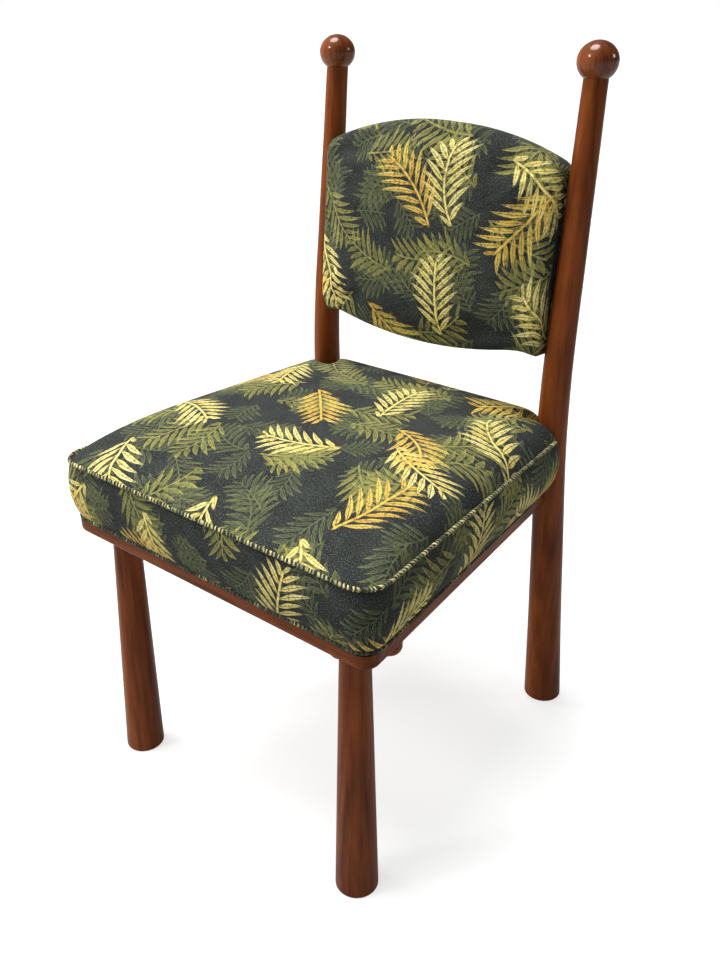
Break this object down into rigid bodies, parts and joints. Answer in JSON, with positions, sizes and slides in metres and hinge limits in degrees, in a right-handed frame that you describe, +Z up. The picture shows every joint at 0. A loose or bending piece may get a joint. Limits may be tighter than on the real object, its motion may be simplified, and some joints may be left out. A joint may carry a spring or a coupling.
{
  "type": "dining chair",
  "caption": "Dining chair with round tapering legs, tall bent rear posts topped by ball finials, a crowned box seat cushion with corded seams and a padded arched back.",
  "frame": {"origin": "middle of the chair's outline on the floor", "axes": "+Z up, -Y the way the sitter faces, +X to the sitter's left"},
  "size_m": [0.5104, 0.5439, 0.9523],
  "materials": {
    "wood": "satin lacquer, red-brown",
    "birch": "raw, hidden inside the upholstery",
    "steel": "zinc plated",
    "fabric": "woven upholstery cloth, dark ground with a leaf print"
  },
  "bodies": {
    "root": {"back_core": "birch", "back_dowels_left": "birch", "back_dowels_right": "birch", "back_lining": "fabric", "back_pad": "fabric", "cleat_screws_left": "steel", "cleat_screws_right": "steel", "corner_cleat_left": "wood", "corner_cleat_right": "wood", "cross_nut_left": "steel", "cross_nut_right": "steel", "finial_left": "wood", "finial_right": "wood", "front_leg_left": "wood", "front_leg_right": "wood", "front_rail": "wood", "post_bolt_left": "steel", "post_bolt_right": "steel", "rear_post_left": "wood", "rear_post_right": "wood", "rear_rail": "wood", "seat_board": "birch", "seat_cushion": "fabric", "seat_screws": "steel", "side_rail_left": "wood", "side_rail_right": "wood"}
  },
  "joints": []
}
